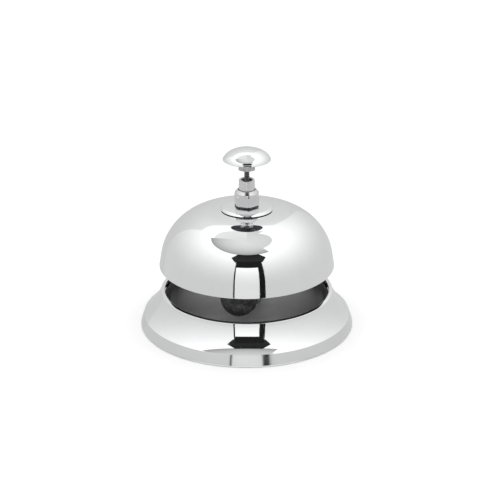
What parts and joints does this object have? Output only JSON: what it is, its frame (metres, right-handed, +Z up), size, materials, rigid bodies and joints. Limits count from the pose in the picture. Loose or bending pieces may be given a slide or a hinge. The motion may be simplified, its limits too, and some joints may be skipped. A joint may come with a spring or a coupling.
{
  "type": "desk call bell",
  "caption": "Chromed service bell: dome on a hollow post over a flared base, with a sprung push button that tilts a hinged striker against the inside of the dome.",
  "frame": {"origin": "on the centre line of the dome, in the plane that the four rubber feet stand on", "axes": "+Z up along the post, -Y towards the front, where the striker's hammer hangs, +X to the right seen from the front"},
  "size_m": [0.085, 0.085, 0.0739],
  "materials": {
    "chrome": "mirror polished chrome plate",
    "satin_steel": "satin grey",
    "zinc_steel": "zinc plated, semi bright",
    "dark_steel": "blackened, semi gloss",
    "cast_iron": "rough as cast",
    "fibre": "matt black fibre",
    "rubber": "matt black"
  },
  "bodies": {
    "base": {"base_shell": "chrome", "bell_dome": "chrome", "domed_washer": "chrome", "clamp_nut": "chrome", "post_tube": "chrome", "mechanism_pan": "satin_steel", "bottom_cover": "zinc_steel", "pedestal": "zinc_steel", "base_spacer": "zinc_steel", "base_washer": "zinc_steel", "base_nut": "zinc_steel", "post_lock_nut": "zinc_steel", "bell_seat": "zinc_steel", "guide_bush": "zinc_steel", "return_spring": "zinc_steel", "pivot_pin": "zinc_steel", "lock_washer": "dark_steel", "pivot_clip": "dark_steel", "seat_washer": "fibre", "rubber_foot_1": "rubber", "rubber_foot_2": "rubber", "rubber_foot_3": "rubber", "rubber_foot_4": "rubber"},
    "plunger": {"plunger_rod": "dark_steel", "push_button": "chrome", "button_lock_nut": "zinc_steel", "spring_clip": "zinc_steel", "stop_clip": "zinc_steel"},
    "striker": {"striker_arm": "zinc_steel", "hammer": "cast_iron", "hammer_rivet": "zinc_steel"}
  },
  "joints": [
    {"name": "button_press", "type": "slide", "parent": "base", "child": "plunger", "axis": [0, 0, -1], "range_m": [0, 0.003], "stiffness_N_per_m": 400, "springref_m": -0.003, "deforming": ["return_spring"]},
    {"name": "striker_swing", "type": "hinge", "parent": "base", "child": "striker", "pos_m": [-0.00116, -0.00943, 0.0305], "axis": [-0.9925, 0.1219, 0], "range_deg": [0, 18.2]}
  ],
  "couplings": [
    {"joint": "striker_swing", "follows": "button_press", "rad_per_m": 105.3}
  ]
}
